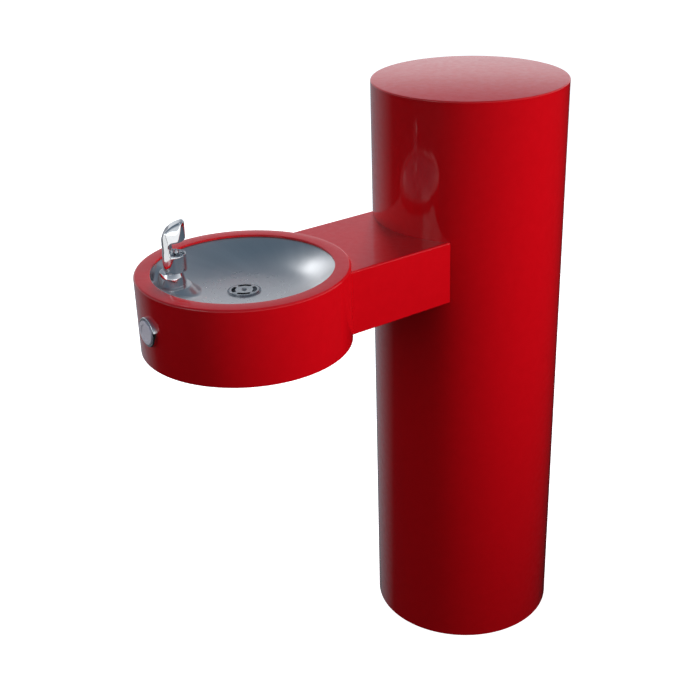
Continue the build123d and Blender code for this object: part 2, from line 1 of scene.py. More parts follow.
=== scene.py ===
# %% [markdown]
# # A pedestal drinking fountain
# The real object is a painted steel post with a box arm that carries a drum-shaped bowl.
# Inside the drum sits a spun steel basin with a chromed bubbler, and a push button is on the
# front. The CAD model gives every piece its size and place. These cells give the pieces
# smooth surfaces, fine edges and finishes, and then set the light and the camera.

# %% Load the CAD frame
import bpy
import bmesh
import json
import math
from mathutils import Matrix, Vector

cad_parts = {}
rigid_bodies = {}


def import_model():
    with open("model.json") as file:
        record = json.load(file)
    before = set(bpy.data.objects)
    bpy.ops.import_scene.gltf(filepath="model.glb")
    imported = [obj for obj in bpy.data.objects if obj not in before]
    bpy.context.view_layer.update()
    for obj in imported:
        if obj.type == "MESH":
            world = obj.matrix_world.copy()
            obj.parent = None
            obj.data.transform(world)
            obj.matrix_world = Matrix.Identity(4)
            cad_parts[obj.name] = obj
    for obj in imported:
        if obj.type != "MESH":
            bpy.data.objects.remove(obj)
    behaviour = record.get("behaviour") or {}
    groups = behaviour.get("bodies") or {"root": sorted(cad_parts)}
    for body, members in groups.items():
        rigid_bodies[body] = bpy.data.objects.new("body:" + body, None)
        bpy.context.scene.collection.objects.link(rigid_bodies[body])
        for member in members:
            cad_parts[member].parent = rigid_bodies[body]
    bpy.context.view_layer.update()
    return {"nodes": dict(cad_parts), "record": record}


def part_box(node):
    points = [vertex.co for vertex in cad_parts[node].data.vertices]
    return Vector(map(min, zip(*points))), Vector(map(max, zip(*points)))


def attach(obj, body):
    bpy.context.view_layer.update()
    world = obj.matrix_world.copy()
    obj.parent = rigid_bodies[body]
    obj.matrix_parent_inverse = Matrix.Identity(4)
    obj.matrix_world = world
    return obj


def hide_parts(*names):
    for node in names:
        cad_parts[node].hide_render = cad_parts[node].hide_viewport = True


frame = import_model()
MM = 0.001
WELD = 1e-6

# %% [markdown]
# ## Places taken from the CAD frame
# Every measure below comes from the box of a CAD node, so that a new piece lands exactly on
# the part that it stands for.

# %% Measure the frame
tube_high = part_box("pedestal_tube")[1]
cap_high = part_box("pedestal_cap")[1]
drum_low, drum_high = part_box("bowl_housing")
arm_low, arm_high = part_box("arm_housing")
basin_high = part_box("basin")[1]
drain_low, drain_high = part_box("drain_body")
dome_low, dome_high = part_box("bubbler_base")

POST_R = tube_high.y
DRUM_R = (drum_high.y - drum_low.y) / 2
DRUM_Y = (drum_high.y + drum_low.y) / 2
RIM_Z = drum_high.z
WALL = 4 * MM
ROUND = 288
BOWL_AT = Vector((0, DRUM_Y, 0))
print(f"post radius {POST_R:.4f}, drum radius {DRUM_R:.4f} at y {DRUM_Y:.4f}, rim {RIM_Z:.4f}")

# %% [markdown]
# ## Outlines
# Sheet metal and turned parts are drawn as an outline of a few corners, each with its own
# rounding. One helper turns those corners into a smooth line, with an arc at each corner.

# %% Draw an outline with rounded corners
def rounded_outline(corners, radii, steps=6, closed=True):
    """Corners in (radius, height); each corner becomes an arc of its own radius."""
    line = []
    count = len(corners)
    for i, corner in enumerate(corners):
        here = Vector(corner)
        radius = radii[i]
        at_end = not closed and i in (0, count - 1)
        if radius == 0 or at_end:
            line.append(here)
            continue
        before = (Vector(corners[i - 1]) - here).normalized()
        after = (Vector(corners[(i + 1) % count]) - here).normalized()
        half = before.angle(after) / 2
        reach = radius / math.tan(half)
        centre = here + (before + after).normalized() * (radius / math.sin(half))
        start = here + before * reach - centre
        end = here + after * reach - centre
        for step in range(steps + 1):
            share = step / steps
            if share in (0, 1):
                blend = (start, end)[int(share)]
            else:
                blend = start.normalized().slerp(end.normalized(), share)
            line.append(centre + blend.normalized() * radius)
    return line


print("corner helper gives", len(rounded_outline([(0, 0), (1, 0), (1, 1)], [0, 0.2, 0])), "points")

# %% [markdown]
# ## A lathe made of Geometry Nodes
# The post, cap, drum and basin are all turned shapes: an outline carried round an axis. The
# tree below lays a grid with one column for each outline point and one row for each step
# round the axis. It reads each point's radius and height from the outline mesh, turns it to
# its angle and welds the seam and the poles. It also stores a map of how far a point is
# along the outline and round the axis, which the spun finish needs later.

# %% Build the lathe tree
def new_tree(name, inputs):
    tree = bpy.data.node_groups.new(name, "GeometryNodeTree")
    tree.interface.new_socket("Geometry", in_out="INPUT", socket_type="NodeSocketGeometry")
    for label, kind, value in inputs:
        socket = tree.interface.new_socket(label, in_out="INPUT", socket_type=kind)
        if value is not None:
            socket.default_value = value
    tree.interface.new_socket("Geometry", in_out="OUTPUT", socket_type="NodeSocketGeometry")
    given = tree.nodes.new("NodeGroupInput")
    ready = tree.nodes.new("NodeGroupOutput")
    return tree, given, ready


def add_node(tree, kind, **settings):
    node = tree.nodes.new(kind)
    for key, value in settings.items():
        setattr(node, key, value)
    return node


def maths(tree, operation, first, second=None):
    node = add_node(tree, "ShaderNodeMath", operation=operation)
    for socket, value in zip(node.inputs, (first, second)):
        if isinstance(value, (int, float)):
            socket.default_value = value
        elif value is not None:
            tree.links.new(value, socket)
    return node.outputs[0]


def finish_tree(tree, ready, geometry, given):
    realize = add_node(tree, "GeometryNodeRealizeInstances")
    paint = add_node(tree, "GeometryNodeSetMaterial")
    tree.links.new(geometry, realize.inputs[0])
    tree.links.new(realize.outputs[0], paint.inputs["Geometry"])
    tree.links.new(given.outputs["Finish"], paint.inputs["Material"])
    tree.links.new(paint.outputs[0], ready.inputs[0])


def lathe_tree():
    tree, given, ready = new_tree("Lathe", [
        ("Steps", "NodeSocketInt", ROUND), ("Points", "NodeSocketInt", 4),
        ("Weld", "NodeSocketFloat", WELD), ("Finish", "NodeSocketMaterial", None)])
    link = tree.links.new
    rows = maths(tree, "ADD", given.outputs["Steps"], 1)
    grid = add_node(tree, "GeometryNodeMeshGrid")
    link(given.outputs["Points"], grid.inputs["Vertices X"])
    link(rows, grid.inputs["Vertices Y"])
    index = add_node(tree, "GeometryNodeInputIndex").outputs[0]
    column = maths(tree, "FLOOR", maths(tree, "DIVIDE", maths(tree, "ADD", index, 0.5), rows))
    row = maths(tree, "SUBTRACT", index, maths(tree, "MULTIPLY", column, rows))
    share = maths(tree, "DIVIDE", row, given.outputs["Steps"])
    angle = maths(tree, "MULTIPLY", share, math.tau)
    point = add_node(tree, "GeometryNodeSampleIndex", data_type="FLOAT_VECTOR", domain="POINT")
    link(given.outputs["Geometry"], point.inputs["Geometry"])
    link(add_node(tree, "GeometryNodeInputPosition").outputs[0], point.inputs["Value"])
    link(column, point.inputs["Index"])
    parts = add_node(tree, "ShaderNodeSeparateXYZ")
    link(point.outputs[0], parts.inputs[0])
    place = add_node(tree, "ShaderNodeCombineXYZ")
    link(maths(tree, "MULTIPLY", parts.outputs["X"], maths(tree, "COSINE", angle)), place.inputs["X"])
    link(maths(tree, "MULTIPLY", parts.outputs["X"], maths(tree, "SINE", angle)), place.inputs["Y"])
    link(parts.outputs["Z"], place.inputs["Z"])
    seat = add_node(tree, "GeometryNodeSetPosition")
    link(grid.outputs["Mesh"], seat.inputs["Geometry"])
    link(place.outputs[0], seat.inputs["Position"])
    spun = add_node(tree, "ShaderNodeCombineXYZ")
    link(share, spun.inputs["X"])
    link(parts.outputs["Y"], spun.inputs["Y"])
    store = add_node(tree, "GeometryNodeStoreNamedAttribute", data_type="FLOAT2", domain="CORNER")
    store.inputs["Name"].default_value = "spin"
    link(seat.outputs[0], store.inputs["Geometry"])
    link(spun.outputs[0], store.inputs["Value"])
    weld = add_node(tree, "GeometryNodeMergeByDistance")
    link(store.outputs[0], weld.inputs["Geometry"])
    link(given.outputs["Weld"], weld.inputs["Distance"])
    finish_tree(tree, ready, weld.outputs[0], given)
    return tree


LATHE = lathe_tree()
print("lathe tree has", len(LATHE.nodes), "nodes")

# %% [markdown]
# ## From a tree to a finished mesh
# A modifier is only a recipe. Before a piece is handed to the frame, the recipe is
# evaluated, its result becomes a plain mesh and the modifier goes away. Normals are made to
# point outwards, and edges sharper than the given angle stay crisp while the rest is smooth.

# %% Run a tree and keep a plain mesh
def plain_object(name, mesh):
    obj = bpy.data.objects.new(name, mesh)
    bpy.context.scene.collection.objects.link(obj)
    return obj


def run_tree(name, tree, start, settings):
    source = plain_object(name + "_recipe", start)
    modifier = source.modifiers.new("Recipe", "NODES")
    modifier.node_group = tree
    for item in tree.interface.items_tree:
        if item.in_out == "INPUT" and item.name in settings:
            modifier[item.identifier] = settings[item.name]
    source.update_tag()
    graph = bpy.context.evaluated_depsgraph_get()
    mesh = bpy.data.meshes.new_from_object(source.evaluated_get(graph))
    bpy.data.objects.remove(source)
    mesh.name = name
    return mesh


def tidy_mesh(mesh, crease=30):
    work = bmesh.new()
    work.from_mesh(mesh)
    bmesh.ops.remove_doubles(work, verts=work.verts, dist=WELD)
    bmesh.ops.dissolve_degenerate(work, edges=work.edges, dist=WELD)
    bmesh.ops.recalc_face_normals(work, faces=work.faces)
    work.to_mesh(mesh)
    work.free()
    mesh.shade_smooth()
    mesh.set_sharp_from_angle(angle=math.radians(crease))
    return mesh


def turned(name, outline, finish, at=(0, 0, 0), steps=ROUND, closed=True):
    """A piece turned about a vertical axis through `at`."""
    run = 0.0
    points = []
    line = list(outline) + ([outline[0]] if closed else [])
    for i, corner in enumerate(line):
        if i:
            run += (Vector(corner) - Vector(line[i - 1])).length
        points.append((corner[0], run, corner[1]))
    start = bpy.data.meshes.new(name + "_outline")
    start.from_pydata(points, [(i, i + 1) for i in range(len(points) - 1)], [])
    mesh = run_tree(name, LATHE, start, {"Steps": steps, "Points": len(points), "Finish": finish})
    mesh.transform(Matrix.Translation(at))
    tidy_mesh(mesh)
    print(f"{name}: {len(mesh.polygons)} faces")
    return plain_object(name, mesh)


# %% [markdown]
# ## Cutting openings
# Windows, doors and holes are cut from the turned shells with the Boolean modifier, because
# the edge of a hole in a curved wall is then exact. The cutter is removed afterwards.

# %% Cut and join shapes
def apply_modifiers(obj):
    graph = bpy.context.evaluated_depsgraph_get()
    mesh = bpy.data.meshes.new_from_object(obj.evaluated_get(graph))
    obj.modifiers.clear()
    old = obj.data
    obj.data = mesh
    mesh.name = obj.name
    bpy.data.meshes.remove(old)


def cut(obj, *cutters, operation="DIFFERENCE"):
    for cutter in cutters:
        tool = obj.modifiers.new("Cut", "BOOLEAN")
        tool.operation = operation
        tool.solver = "EXACT"
        tool.object = cutter
    apply_modifiers(obj)
    for cutter in cutters:
        bpy.data.objects.remove(cutter)
    tidy_mesh(obj.data)
    return obj


def made_object(name, work):
    """Turn a finished bmesh into an object of its own."""
    mesh = bpy.data.meshes.new(name)
    work.to_mesh(mesh)
    work.free()
    return plain_object(name, mesh)


def block(name, low, high, bevel=0.0, axis=None):
    """A box between two corners; edges along `axis`, or all edges, are rounded."""
    work = bmesh.new()
    bmesh.ops.create_cube(work, size=1)
    low, high = Vector(low), Vector(high)
    for vert in work.verts:
        vert.co = Vector((low[i] if vert.co[i] < 0 else high[i] for i in range(3)))
    if bevel:
        along = {edge: (edge.verts[0].co - edge.verts[1].co).normalized() for edge in work.edges}
        chosen = [edge for edge in work.edges if axis is None or abs(along[edge][axis]) > 0.9]
        bmesh.ops.bevel(work, geom=chosen, offset=bevel, segments=6, affect="EDGES", profile=0.5)
    obj = made_object(name, work)
    tidy_mesh(obj.data)
    return obj


QUARTER = math.pi / 2
TURNS = {"X": Matrix.Rotation(QUARTER, 4, "Y"), "Y": Matrix.Rotation(-QUARTER, 4, "X"),
         "Z": Matrix()}


def tapered(name, low_r, high_r, low, high, at=(0, 0, 0), axis="Z", steps=96):
    """A round bar from low to high along an axis, with its own radius at each end."""
    work = bmesh.new()
    bmesh.ops.create_cone(work, cap_ends=True, segments=steps, radius1=low_r, radius2=high_r,
                          depth=high - low)
    bmesh.ops.translate(work, verts=work.verts, vec=(0, 0, (low + high) / 2))
    bmesh.ops.transform(work, matrix=Matrix.Translation(at) @ TURNS[axis], verts=work.verts)
    return made_object(name, work)


def cylinder(name, radius, low, high, axis="Z", at=(0, 0, 0), steps=ROUND):
    return tapered(name, radius, radius, low, high, at, axis, steps)


def dress(obj, finish):
    obj.data.materials.clear()
    obj.data.materials.append(finish)
    for face in obj.data.polygons:
        face.material_index = 0
    return obj


def settle(obj, body, slot, *nodes):
    """Hand a finished piece to the frame: what it rides on and what it stands for. The slot is not
    used.
    """
    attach(obj, body)
    if nodes:
        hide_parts(*nodes)


# %% [markdown]
# ## Finishes
# A finish is a small node network. The helper starts one with the shader's own values set,
# and each finish then adds the marks that the real surface has.

# %% Start a finish
def new_finish(name, color, metallic=0.0, roughness=0.5, **extra):
    finish = bpy.data.materials.new(name)
    finish.use_nodes = True
    shader = finish.node_tree.nodes["Principled BSDF"]
    shader.inputs["Base Color"].default_value = (*color, 1)
    shader.inputs["Metallic"].default_value = metallic
    shader.inputs["Roughness"].default_value = roughness
    for key, value in extra.items():
        shader.inputs[key.replace("_", " ")].default_value = value
    return finish, finish.node_tree, shader


def object_noise(tree, scale, detail=3.0, stretch=(1, 1, 1), rough=0.5):
    """Noise read in the object's own space, in features per metre, stretched if asked."""
    where = add_node(tree, "ShaderNodeTexCoord")
    fit = add_node(tree, "ShaderNodeMapping")
    fit.inputs["Scale"].default_value = stretch
    noise = add_node(tree, "ShaderNodeTexNoise")
    noise.inputs["Scale"].default_value = scale
    noise.inputs["Detail"].default_value = detail
    noise.inputs["Roughness"].default_value = rough
    tree.links.new(where.outputs["Object"], fit.inputs["Vector"])
    tree.links.new(fit.outputs[0], noise.inputs["Vector"])
    return noise.outputs["Fac"]


def ramp(tree, value, stops):
    node = add_node(tree, "ShaderNodeValToRGB")
    steps = node.color_ramp.elements
    while len(steps) < len(stops):
        steps.new(0.5)
    for step, (place, color) in zip(steps, stops):
        step.position = place
        step.color = (*color, 1)
    tree.links.new(value, node.inputs["Fac"])
    return node.outputs["Color"]


def spread(tree, value, low, high):
    """Turn noise from 0.3-0.7 into a value between low and high."""
    node = add_node(tree, "ShaderNodeMapRange")
    for label, number in (("From Min", 0.3), ("From Max", 0.7), ("To Min", low), ("To Max", high)):
        node.inputs[label].default_value = number
    tree.links.new(value, node.inputs["Value"])
    return node.outputs[0]


def bump(tree, shader, height, strength, distance):
    node = add_node(tree, "ShaderNodeBump")
    node.inputs["Strength"].default_value = strength
    node.inputs["Distance"].default_value = distance
    tree.links.new(height, node.inputs["Height"])
    tree.links.new(node.outputs[0], shader.inputs["Normal"])


# %% [markdown]
# ### Gloss powder coat
# Outdoor fountains are powder coated. The colour is even, but the film has a faint orange
# peel a few millimetres wide, and its gloss is a little uneven where hands and rain reach
# it. A clear top layer gives the sharp reflection.

# %% Make the red powder coat
def red_powder_coat():
    finish, tree, shader = new_finish("red_powder_coat", (0.63, 0.0015, 0.006), roughness=0.35,
                                      Specular_IOR_Level=0.15, Coat_Weight=1.0, Coat_Roughness=0.07)
    shade = ramp(tree, object_noise(tree, 55, 6, rough=0.7),
                 [(0.3, (0.61, 0.0013, 0.0055)), (0.7, (0.65, 0.0017, 0.0065))])
    tree.links.new(shade, shader.inputs["Base Color"])
    tree.links.new(spread(tree, object_noise(tree, 90, 5), 0.30, 0.42), shader.inputs["Roughness"])
    bump(tree, shader, object_noise(tree, 300, 2), 0.06, 0.0003)
    return finish


RED = red_powder_coat()

# %% [markdown]
# ### Spun stainless steel
# The basin is spun on a lathe and then satin polished while it turns, so that its fine marks
# run round the bowl. The lathe tree stored how far round and how far along each point is,
# and a noise that is stretched along the turning direction reads that map. The finish is not
# a full metal: the small dull share stands for light that the fine marks scatter.

# %% Make the stainless finishes
def streaks(tree, lines, shader, color, dark, light):
    """Noise darkens and lightens the colour by the two shares given."""
    low, high = [tuple(c * share for c in color) for share in (dark, light)]
    tree.links.new(ramp(tree, lines, [(0.3, low), (0.7, high)]), shader.inputs["Base Color"])


def spun_steel(name, color, roughness, streak):
    finish, tree, shader = new_finish(name, color, 0.9, roughness, Anisotropic=0.45)
    spin = add_node(tree, "ShaderNodeUVMap", uv_map="spin")
    tangent = add_node(tree, "ShaderNodeTangent", direction_type="UV_MAP", uv_map="spin")
    fit = add_node(tree, "ShaderNodeMapping")
    fit.inputs["Scale"].default_value = (5, 2600, 1)
    lines = add_node(tree, "ShaderNodeTexNoise")
    lines.inputs["Scale"].default_value = 1
    lines.inputs["Detail"].default_value = 4
    tree.links.new(spin.outputs[0], fit.inputs["Vector"])
    tree.links.new(fit.outputs[0], lines.inputs["Vector"])
    tree.links.new(tangent.outputs[0], shader.inputs["Tangent"])
    streaks(tree, lines.outputs["Fac"], shader, color, 0.93, 1.05)
    tree.links.new(spread(tree, lines.outputs["Fac"], roughness - streak, roughness + streak),
                   shader.inputs["Roughness"])
    return finish


def drawn_steel(name, color, roughness, stretch=(1, 1, 0.03)):
    finish, tree, shader = new_finish(name, color, 1.0, roughness)
    lines = object_noise(tree, 900, 3, stretch)
    streaks(tree, lines, shader, color, 0.85, 1.08)
    tree.links.new(spread(tree, lines, roughness * 0.8, roughness * 1.25),
                   shader.inputs["Roughness"])
    bump(tree, shader, lines, 0.06, 0.0001)
    return finish


SATIN = spun_steel("satin_stainless", (0.70, 0.71, 0.72), 0.30, 0.04)
TUBE = drawn_steel("drawn_tube", (0.56, 0.57, 0.58), 0.25)
FASTENER = drawn_steel("fastener_steel", (0.55, 0.55, 0.54), 0.3, (1, 1, 1))

# %% [markdown]
# ### Chrome, brass, zinc, rubber and plastic
# The bubbler and bezel are chrome plated, with faint wiping marks. Valves and nuts are bare
# brass that has dulled a little. Hidden steel is zinc plated, which shows as soft grey
# crystals, and the seals are black rubber with a dusty bloom.

# %% Make the other finishes
def chrome_plate():
    finish, tree, shader = new_finish("chrome_plate", (0.74, 0.76, 0.78), 1.0, 0.06)
    tree.links.new(spread(tree, object_noise(tree, 60, 5), 0.03, 0.10), shader.inputs["Roughness"])
    shade = ramp(tree, object_noise(tree, 25, 3),
                 [(0.3, (0.70, 0.72, 0.74)), (0.7, (0.78, 0.80, 0.82))])
    tree.links.new(shade, shader.inputs["Base Color"])
    bump(tree, shader, object_noise(tree, 240, 2), 0.03, 0.0001)
    return finish


def mottled(name, dark, light, metallic, low, high, scale, strength=0.1):
    """Patches between two colours, with a roughness between low and high."""
    finish, tree, shader = new_finish(name, light, metallic, high)
    spots = object_noise(tree, scale, 5, rough=0.6)
    tree.links.new(ramp(tree, spots, [(0.32, dark), (0.68, light)]), shader.inputs["Base Color"])
    tree.links.new(spread(tree, object_noise(tree, scale * 2.3, 3), low, high),
                   shader.inputs["Roughness"])
    bump(tree, shader, spots, strength, 0.0003)
    return finish


CHROME = chrome_plate()
STAINLESS = drawn_steel("plain_stainless", (0.50, 0.52, 0.54), 0.24, (1, 1, 1))
BRASS = mottled("dulled_brass", (0.42, 0.27, 0.09), (0.66, 0.47, 0.19), 1.0, 0.25, 0.42, 120)
ZINC = mottled("zinc_plate", (0.36, 0.37, 0.38), (0.56, 0.57, 0.58), 1.0, 0.35, 0.5, 60)
RUBBER = mottled("seal_rubber", (0.012, 0.012, 0.012), (0.035, 0.034, 0.033), 0.0, 0.6, 0.8, 200)
GRIP = mottled("dipped_grip", (0.02, 0.05, 0.22), (0.03, 0.07, 0.30), 0.0, 0.35, 0.5, 150)
PLATED = mottled("plated_tube", (0.62, 0.63, 0.65), (0.74, 0.75, 0.76), 1.0, 0.08, 0.16, 30, 0.03)
BUTTON = mottled("satin_button", (0.74, 0.70, 0.80), (0.84, 0.80, 0.88), 0.35, 0.30, 0.40, 400, 0.04)

SLOT_FINISH = {
    "red_paint": RED, "zinc_steel": ZINC, "fastener_steel": FASTENER, "satin_stainless": STAINLESS,
    "seal_rubber": RUBBER, "brass": BRASS, "plated_tube": PLATED, "tube_steel": TUBE,
    "grip_plastic": GRIP, "chrome": CHROME, "button_metal": FASTENER}
for part in frame["record"]["subparts"]:
    dress(frame["nodes"][part["node"]], SLOT_FINISH[part["material_slot"]])

# %% [markdown]
# ## The post
# The post is a rolled tube with a flat plate welded on top. The plate's rim is rounded by
# hand with a grinder before painting. The wall has a window behind the arm for the pipes
# and an opening at the back for the access door.

# %% Turn the post and its top plate
tube_top = tube_high.z
POST_IN_R = POST_R - WALL
post = turned("post", rounded_outline(
    [(POST_IN_R, 0), (POST_R, 0), (POST_R, tube_top), (POST_IN_R, tube_top)],
    [0, 0.8 * MM, 0, 0], 3), RED)
door_low, door_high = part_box("access_door")
DOOR_GAP = 1.2 * MM
DOOR_FROM_Y, DOOR_TO_Y = 0.06, 0.25
WINDOW_X = 0.08
WINDOW_LOW, WINDOW_HIGH = 0.746, 0.838
door_hole = block("door_hole", (door_low.x - DOOR_GAP, DOOR_FROM_Y, door_low.z - DOOR_GAP),
                  (door_high.x + DOOR_GAP, DOOR_TO_Y, door_high.z + DOOR_GAP), 14 * MM, axis=1)
window = block("window", (-WINDOW_X, -0.25, WINDOW_LOW), (WINDOW_X, -0.06, WINDOW_HIGH))
cut(post, door_hole, window)
settle(dress(post, RED), "stand", "red_paint", "pedestal_tube")

cap_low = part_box("pedestal_cap")[0]
CAP_LIP_R = POST_R - 9 * MM
cap = turned("top_plate", rounded_outline(
    [(0, cap_high.z), (POST_R, cap_high.z), (POST_R, tube_top), (POST_IN_R, tube_top),
     (POST_IN_R, cap_low.z), (CAP_LIP_R, cap_low.z), (CAP_LIP_R, tube_top), (0, tube_top)],
    [0, 2.4 * MM, 0.3 * MM, 0, 0, 0, 0, 0], 6), RED, closed=False)
settle(cap, "stand", "red_paint", "pedestal_cap")

# %% [markdown]
# ## The access door
# The door is cut from the same tube, so it follows the post's curve with a narrow gap all
# round. It is made like the post, then trimmed by a rounded block.

# %% Trim the door from a turned shell
SHELL_LOW, SHELL_HIGH = 0.15, 0.52
shell_outline = [(POST_IN_R, SHELL_LOW), (POST_R, SHELL_LOW),
                 (POST_R, SHELL_HIGH), (POST_IN_R, SHELL_HIGH)]
door = turned("door", shell_outline, RED)
door_blank = block("door_blank", (door_low.x, DOOR_FROM_Y, door_low.z),
                   (door_high.x, DOOR_TO_Y, door_high.z), 14 * MM - DOOR_GAP, axis=1)
cut(door, door_blank, operation="INTERSECT")
settle(dress(door, RED), "stand", "red_paint", "access_door")

# %% [markdown]
# ## The drum
# The bowl housing is a rolled drum with a ring welded on top to make the rim. The outer edge
# of the rim is rounded, and the inner edge is cut square and just broken. It is turned from
# one closed outline, and the pipe window and the button hole are cut out.

# %% Turn the drum
RIM_HOLE_R = 152.8 * MM
drum = turned("drum", rounded_outline(
    [(RIM_HOLE_R, RIM_Z), (DRUM_R, RIM_Z), (DRUM_R, drum_low.z), (DRUM_R - WALL, drum_low.z),
     (DRUM_R - WALL, RIM_Z - WALL), (RIM_HOLE_R, RIM_Z - WALL)],
    [1.0 * MM, 4.0 * MM, 0.8 * MM, 0.8 * MM, 0, 0.8 * MM], 7), RED, at=BOWL_AT)
button_low, button_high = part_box("push_button")
BUTTON_Z = (button_low.z + button_high.z) / 2
drum_window = block("drum_window", (-WINDOW_X, DRUM_Y + 0.1, WINDOW_LOW),
                    (WINDOW_X, DRUM_Y + 0.2, WINDOW_HIGH))
cut(drum, drum_window, cylinder("button_hole", 17 * MM, -0.69, -0.65, "Y", (0, 0, BUTTON_Z), 64))
settle(dress(drum, RED), "stand", "red_paint", "bowl_housing")

# %% [markdown]
# ## The arm
# The arm is a folded box with 3 mm corner bends. Its ends are coped so that they meet the
# round post and drum without a gap, which takes two cylinder cuts.

# %% Fold the arm and cope its ends
ARM_FROM_Y, ARM_TO_Y = -0.36, -0.13
COPE_LOW, COPE_HIGH = 0.7, 0.9
WELD_DEPTH = 0.2 * MM
PAST_END = 0.04
arm = block("arm", (arm_low.x, ARM_FROM_Y, arm_low.z), (arm_high.x, ARM_TO_Y, arm_high.z),
            3 * MM, axis=1)
hollow = block("hollow", (arm_low.x + WALL, ARM_FROM_Y - PAST_END, arm_low.z + WALL),
               (arm_high.x - WALL, ARM_TO_Y + PAST_END, arm_high.z - WALL))
cut(arm, hollow, cylinder("cope_post", POST_R - WELD_DEPTH, COPE_LOW, COPE_HIGH),
    cylinder("cope_drum", DRUM_R - WELD_DEPTH, COPE_LOW, COPE_HIGH, at=BOWL_AT))
settle(dress(arm, RED), "stand", "red_paint", "arm_housing")

# %% [markdown]
# ## The basin
# The basin is spun from thin sheet over a form. Its floor is almost flat at the drain and
# grows steeper towards the rim, so its height follows a power of the distance from the
# middle. A flat seat is then pressed in for the bubbler. The lathe makes the bowl, and the
# seat is pressed into the finished mesh: near the bubbler, no point may lie further above or
# below the seat than a 45 degree cone allows, with the cone's foot blended softly.

# %% Spin the basin
SHEET = 1.5 * MM
DRAIN_HOLE_R = (drain_high.x - drain_low.x) / 2 - 4.3 * MM
SUMP_R = 30 * MM
BASIN_R = 154 * MM
FLANGE_R = 172 * MM
POWER = 2.7
SUMP_Z = drain_low.z + 13 * MM
BASIN_Z = basin_high.z


def basin_line(drop, step):
    """The bowl's line from the drain hole to the flange's edge, moved down by `drop`."""
    count = math.ceil((BASIN_R - SUMP_R) / step)
    line = [Vector((DRAIN_HOLE_R, SUMP_Z - drop))]
    for i in range(count + 1):
        share = i / count
        line.append(Vector((SUMP_R + (BASIN_R - SUMP_R) * share,
                            SUMP_Z + (BASIN_Z - SUMP_Z) * share ** POWER - drop)))
    line.append(Vector((BASIN_R + 2 * MM, BASIN_Z - drop)))
    line.append(Vector((FLANGE_R, BASIN_Z - drop)))
    return line


bowl_outline = basin_line(0, 1.7 * MM) + basin_line(SHEET, 3.4 * MM)[::-1]
basin = turned("basin_bowl", bowl_outline, SATIN, at=BOWL_AT, steps=480)
bubbler_at = Vector(((dome_low.x + dome_high.x) / 2, (dome_low.y + dome_high.y) / 2, 0))
SEAT_Z = dome_low.z + 15 * MM
SEAT_R = 32 * MM
SEAT_BLEND = 3 * MM


def soft_min(a, b, blend):
    near = max(blend - abs(a - b), 0) / blend
    return min(a, b) - near * near * blend / 4


def press_seat(mesh):
    """Underside points are told apart by their normals, read before anything moves."""
    under = [vert.normal.z < 0 for vert in mesh.vertices]
    for vert, is_under in zip(mesh.vertices, under):
        away = (Vector((vert.co.x, vert.co.y, 0)) - bubbler_at).length
        from_middle = (Vector((vert.co.x, vert.co.y, 0)) - BOWL_AT).length
        reach = max(0, away - SEAT_R)
        if from_middle > BASIN_R or reach > 30 * MM:
            continue
        seat = SEAT_Z - (SHEET if is_under else 0)
        height = soft_min(vert.co.z, seat + reach, SEAT_BLEND)
        vert.co.z = -soft_min(-height, -(seat - reach), SEAT_BLEND)


press_seat(basin.data)
cut(basin, cylinder("shank_hole", 10.5 * MM, SEAT_Z - 0.02, SEAT_Z + 0.01, at=bubbler_at, steps=48))
settle(dress(basin, SATIN), "stand", "satin_stainless", "basin")

# %% [markdown]
# ## Placing repeated pieces
# Screws, nuts and slots are the same shape set down in many places. Each place is a point
# with two directions: the way the piece stands up and the way its side faces. The tree below
# puts a copy at every point and turns it to its two directions.

# %% Build the placing tree
def placing_tree():
    tree, given, ready = new_tree("Set down", [
        ("Piece", "NodeSocketObject", None), ("Size", "NodeSocketFloat", 1.0),
        ("Finish", "NodeSocketMaterial", None)])
    link = tree.links.new
    turn = add_node(tree, "FunctionNodeAxesToRotation", primary_axis="Z", secondary_axis="X")
    for label, socket in (("up", "Primary Axis"), ("side", "Secondary Axis")):
        direction = add_node(tree, "GeometryNodeInputNamedAttribute", data_type="FLOAT_VECTOR")
        direction.inputs["Name"].default_value = label
        link(direction.outputs["Attribute"], turn.inputs[socket])
    piece = add_node(tree, "GeometryNodeObjectInfo")
    link(given.outputs["Piece"], piece.inputs["Object"])
    copies = add_node(tree, "GeometryNodeInstanceOnPoints")
    link(given.outputs["Geometry"], copies.inputs["Points"])
    link(piece.outputs["Geometry"], copies.inputs["Instance"])
    link(turn.outputs[0], copies.inputs["Rotation"])
    link(given.outputs["Size"], copies.inputs["Scale"])
    finish_tree(tree, ready, copies.outputs[0], given)
    return tree


SET_DOWN = placing_tree()


def set_down(name, piece, places, finish):
    """One plain mesh with a copy of `piece` at every (point, up, side); the piece is used up."""
    start = bpy.data.meshes.new(name + "_places")
    start.from_pydata([place[0] for place in places], [], [])
    for label, which in (("up", 1), ("side", 2)):
        values = start.attributes.new(label, "FLOAT_VECTOR", "POINT").data
        for value, place in zip(values, places):
            value.vector = place[which]
    mesh = run_tree(name, SET_DOWN, start, {"Piece": piece, "Size": 1.0, "Finish": finish})
    bpy.data.objects.remove(piece)
    for label in ("up", "side"):
        if label in mesh.attributes:
            mesh.attributes.remove(mesh.attributes[label])
    tidy_mesh(mesh)
    print(f"{name}: {len(places)} copies, {len(mesh.polygons)} faces")
    return plain_object(name, mesh)


# %% [markdown]
# ## Screws
# The door, the cover and the strainer are held by button-head security screws: a low dome, a
# six-sided socket and a pin in its middle. One screw is turned, its socket cut, and the copies
# are set down by the tree.

# %% Make a security screw
SOCKET_SIDES = 6


